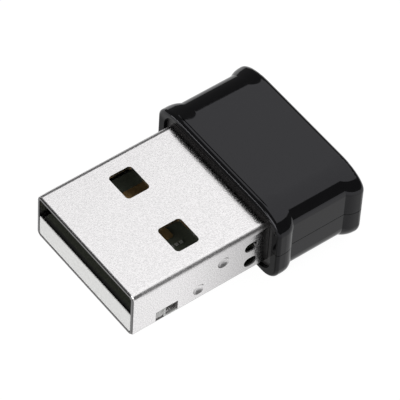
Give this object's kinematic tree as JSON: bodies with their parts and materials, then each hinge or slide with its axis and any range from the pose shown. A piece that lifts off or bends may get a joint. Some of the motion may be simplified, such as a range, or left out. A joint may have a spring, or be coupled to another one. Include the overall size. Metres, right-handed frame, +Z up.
{
  "type": "usb wifi adapter",
  "caption": "Nano USB-A Wi-Fi adapter: a metal plug shell with windows and contacts, and a short glossy black housing with a narrowed grip waist between two flanges",
  "frame": {"origin": "bottom centre of the whole adapter", "axes": "+X is the way the plug goes into its socket, +Y is the width, +Z is up, away from the lower cover"},
  "size_m": [0.0202, 0.015, 0.0069],
  "materials": {
    "shell_metal": "satin nickel-plated steel sheet, very fine grain",
    "housing_plastic": "glossy black moulded plastic",
    "collar_plastic": "satin black moulded plastic",
    "carrier_plastic": "light grey moulded plastic",
    "board_laminate": "grey-green glass-fibre laminate with solder mask",
    "contact_gold": "gold-plated contact strip",
    "package_black": "matt black moulding compound",
    "crystal_metal": "plain metal lid",
    "antenna_ceramic": "off-white matt ceramic",
    "capacitor_ceramic": "tan matt ceramic",
    "pad_silicone": "soft blue-grey silicone pad",
    "solder_metal": "bright solder",
    "pad_tin": "matt tinned copper pad"
  },
  "bodies": {
    "root": {"plug_shell": "shell_metal", "upper_cover": "housing_plastic", "lower_cover": "housing_plastic", "front_collar": "collar_plastic", "contact_carrier": "carrier_plastic", "circuit_board": "board_laminate", "contact_ground": "contact_gold", "contact_d_plus": "contact_gold", "contact_d_minus": "contact_gold", "contact_vbus": "contact_gold", "wifi_chip": "package_black", "thermal_pad": "pad_silicone", "crystal": "crystal_metal", "memory_chip": "package_black", "esd_protector": "package_black", "power_inductor": "package_black", "regulator_chip": "package_black", "rf_front_end_left": "package_black", "rf_front_end_right": "package_black", "antenna_left": "antenna_ceramic", "antenna_right": "antenna_ceramic", "antenna_matching_parts": "antenna_ceramic", "ceramic_capacitors": "capacitor_ceramic", "chip_resistors": "package_black", "shell_solder_joints": "solder_metal", "test_pads": "pad_tin"}
  },
  "joints": []
}
